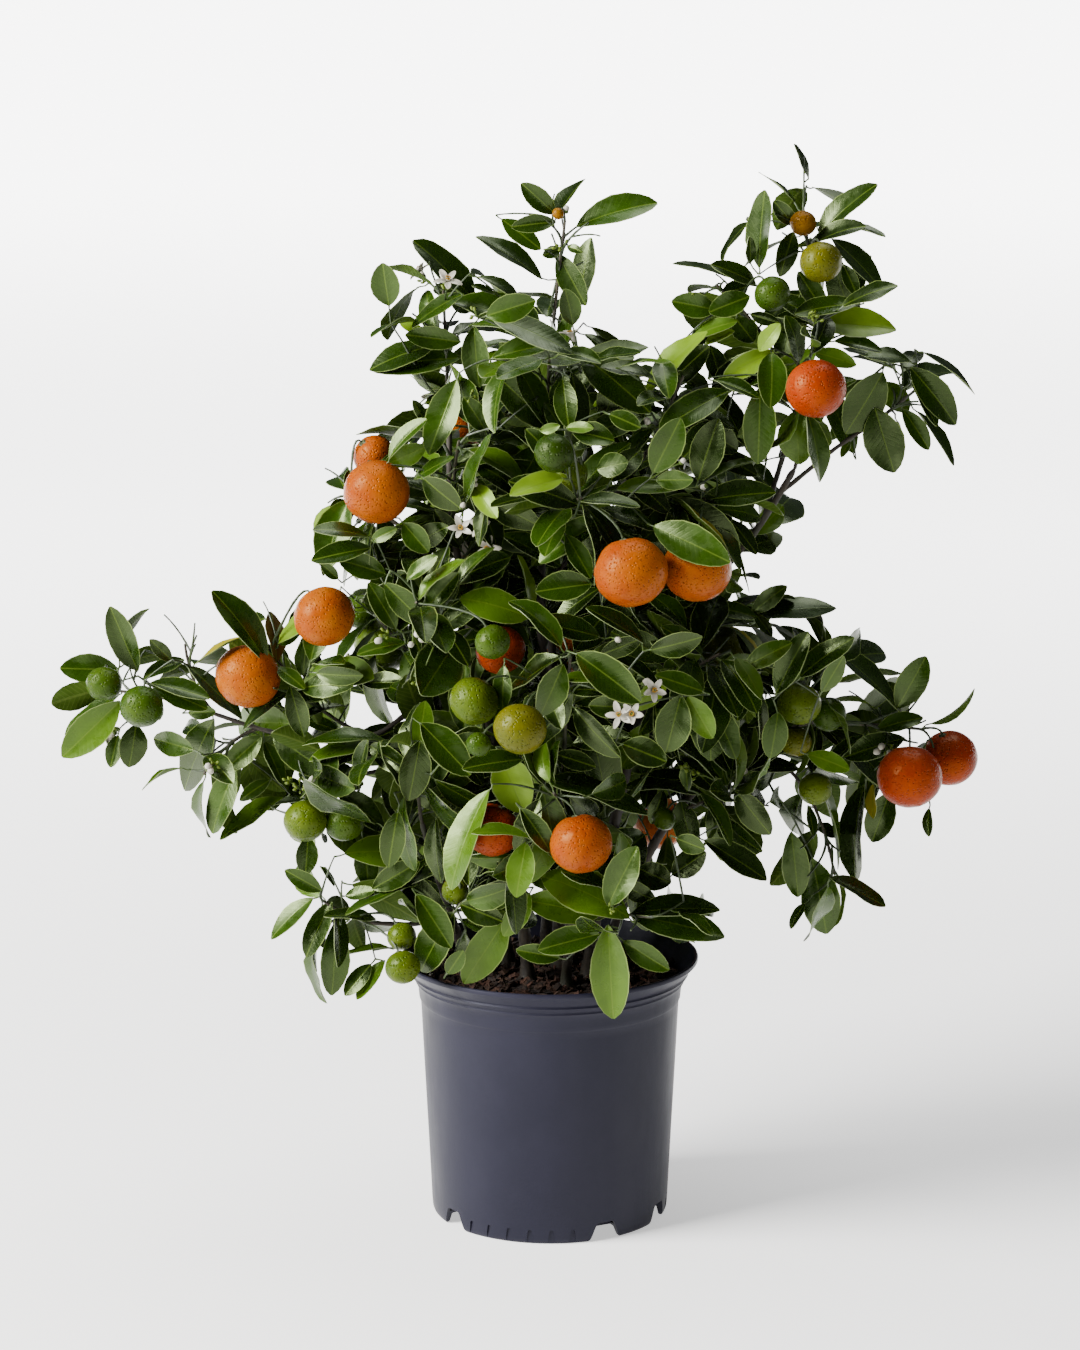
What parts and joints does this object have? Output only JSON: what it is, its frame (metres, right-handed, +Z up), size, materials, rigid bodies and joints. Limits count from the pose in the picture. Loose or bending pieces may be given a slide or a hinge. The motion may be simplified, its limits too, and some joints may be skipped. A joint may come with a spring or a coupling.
{
  "type": "calamondin orange tree in a nursery pot",
  "caption": "Small bushy citrus tree with several thin upright stems, glossy evergreen leaves and little ripe and green oranges, standing in a tapered round plastic nursery pot.",
  "frame": {"origin": "centre of the pot's flat underside", "axes": "+Z up along the pot's axis, -Y towards the side the picture shows, +X to its right"},
  "size_m": [0.5593, 0.3113, 0.6425],
  "materials": {
    "pot_plastic": "charcoal moulded plastic with a soft sheen",
    "potting_bark": "dark brown bark potting mix, matt",
    "stem_bark": "thin green-brown bark, matt",
    "foliage": "glossy dark green leaves with orange and green fruit"
  },
  "bodies": {
    "root": {"pot": "pot_plastic", "soil": "potting_bark", "bough_1a": "stem_bark", "bough_2a": "stem_bark", "bough_2b": "stem_bark", "bough_3a": "stem_bark", "bough_4a": "stem_bark", "bough_5a": "stem_bark", "bough_5b": "stem_bark", "bough_6a": "stem_bark", "bough_7a": "stem_bark", "bough_8a": "stem_bark", "bough_8b": "stem_bark", "bough_8c": "stem_bark", "stem_1": "stem_bark", "stem_2": "stem_bark", "stem_3": "stem_bark", "stem_4": "stem_bark", "stem_5": "stem_bark", "stem_6": "stem_bark", "stem_7": "stem_bark", "stem_8": "stem_bark", "back_left": "foliage", "back_low_left": "foliage", "back_low_right": "foliage", "back_middle": "foliage", "back_right": "foliage", "back_upper_left": "foliage", "back_upper_right": "foliage", "front_skirt_left": "foliage", "front_skirt_right": "foliage", "heart_low": "foliage", "heart_middle": "foliage", "heart_upper": "foliage", "left_arm_inner": "foliage", "left_arm_middle": "foliage", "left_arm_outer": "foliage", "left_arm_tip": "foliage", "left_flank": "foliage", "left_heart_low": "foliage", "left_low": "foliage", "left_shoulder": "foliage", "left_shoulder_outer": "foliage", "left_skirt": "foliage", "right_arm_inner": "foliage", "right_arm_tip": "foliage", "right_crest": "foliage", "right_crest_left": "foliage", "right_crown": "foliage", "right_flank": "foliage", "right_flank_upper": "foliage", "right_hanging": "foliage", "right_low": "foliage", "right_outer": "foliage", "right_shoulder": "foliage", "top_back": "foliage", "top_centre": "foliage", "top_left": "foliage", "top_spray": "foliage"}
  },
  "joints": []
}
